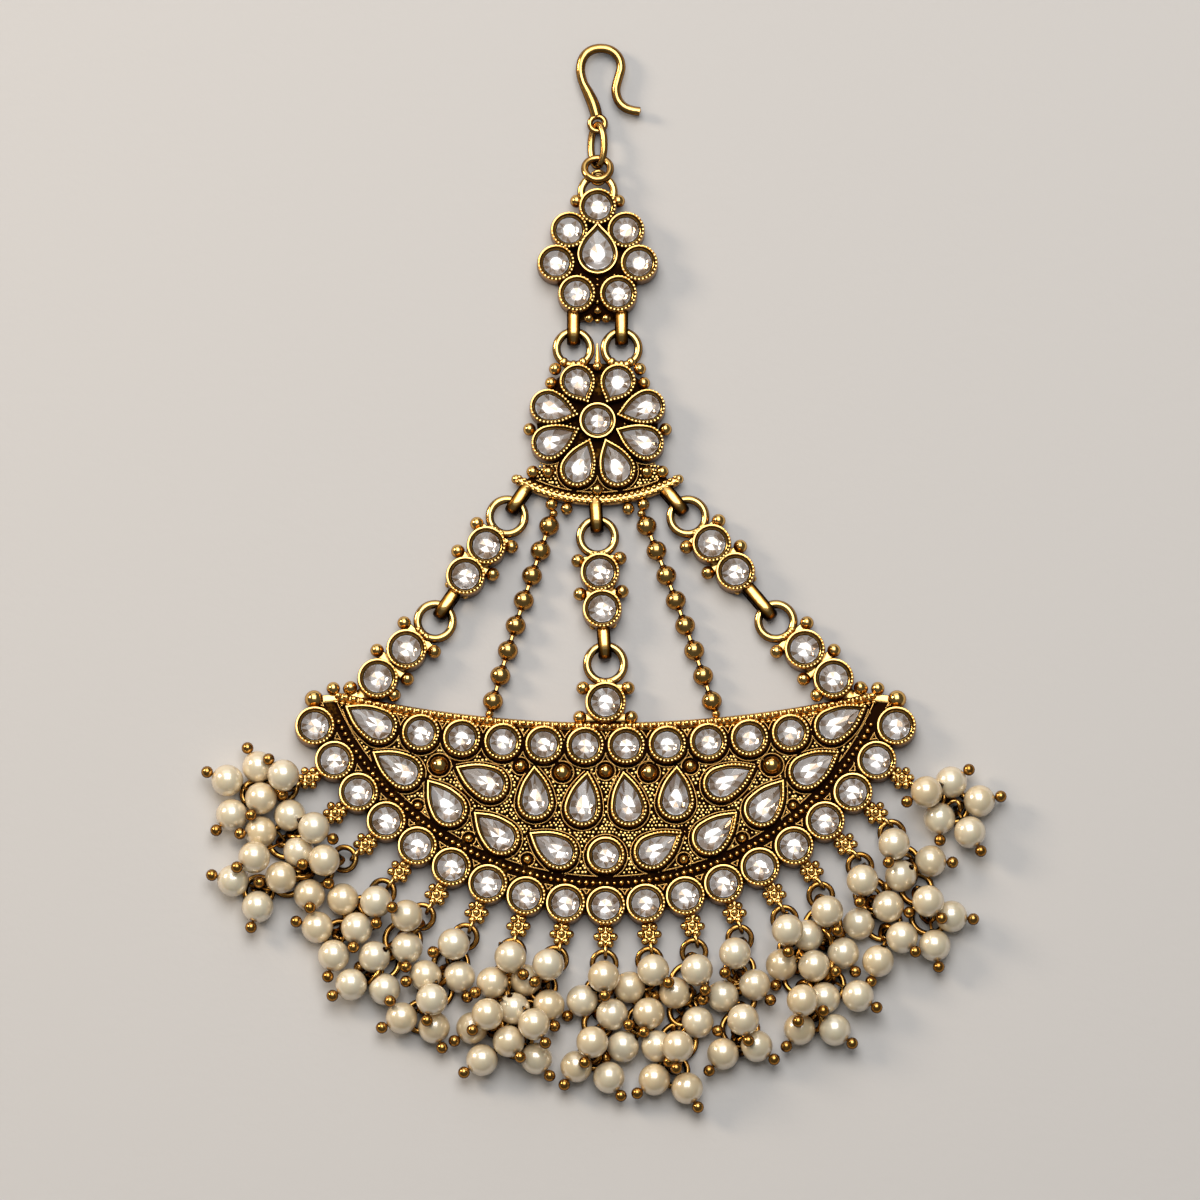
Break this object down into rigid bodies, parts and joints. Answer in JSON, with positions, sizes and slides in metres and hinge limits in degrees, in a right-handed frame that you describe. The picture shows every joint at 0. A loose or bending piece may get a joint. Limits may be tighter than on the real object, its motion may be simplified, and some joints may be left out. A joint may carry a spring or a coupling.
{
  "type": "jhoomar",
  "caption": "Side hair ornament: a hook, linked castings set with crystals and a crescent hung with clusters of pearls, lying on its back.",
  "frame": {"origin": "middle of the footprint, on the surface that the piece lies on", "axes": "+X across the piece, +Y along it towards the hook, +Z out of its front"},
  "size_m": [0.0974, 0.1344, 0.0074],
  "materials": {
    "antique_gold": "polished antique gold plate with brown-black patina in its recesses",
    "crystal": "clear faceted crystal over a silver foil back",
    "pearl": "cream imitation pearl with a soft lustre"
  },
  "bodies": {
    "root": {"hook": "antique_gold", "hook_link": "antique_gold", "top_ring": "antique_gold", "crown": "antique_gold", "rosette": "antique_gold", "connector_left": "antique_gold", "connector_center": "antique_gold", "connector_right": "antique_gold", "ball_chain_left": "antique_gold", "ball_chain_right": "antique_gold", "crescent": "antique_gold", "crown_stone_pear": "crystal", "crown_stone_1": "crystal", "crown_stone_2": "crystal", "crown_stone_3": "crystal", "crown_stone_4": "crystal", "crown_stone_5": "crystal", "crown_stone_6": "crystal", "crown_stone_7": "crystal", "rosette_stone_round": "crystal", "rosette_stone_pear_1": "crystal", "rosette_stone_pear_2": "crystal", "rosette_stone_pear_3": "crystal", "rosette_stone_pear_4": "crystal", "rosette_stone_pear_5": "crystal", "rosette_stone_pear_6": "crystal", "rosette_stone_pear_7": "crystal", "rosette_stone_pear_8": "crystal", "connector_left_stone_1": "crystal", "connector_left_stone_2": "crystal", "connector_center_stone_1": "crystal", "connector_center_stone_2": "crystal", "connector_right_stone_1": "crystal", "connector_right_stone_2": "crystal", "pearl_cluster_01": "pearl", "pearl_cluster_02": "pearl", "pearl_cluster_03": "pearl", "pearl_cluster_04": "pearl", "pearl_cluster_05": "pearl", "pearl_cluster_06": "pearl", "pearl_cluster_07": "pearl", "pearl_cluster_08": "pearl", "pearl_cluster_09": "pearl", "pearl_cluster_10": "pearl", "pearl_cluster_11": "pearl", "pearl_cluster_12": "pearl", "pearl_cluster_13": "pearl", "pearl_cluster_14": "pearl", "pearl_cluster_15": "pearl", "pearl_cluster_16": "pearl", "pearl_cluster_17": "pearl"}
  },
  "joints": []
}
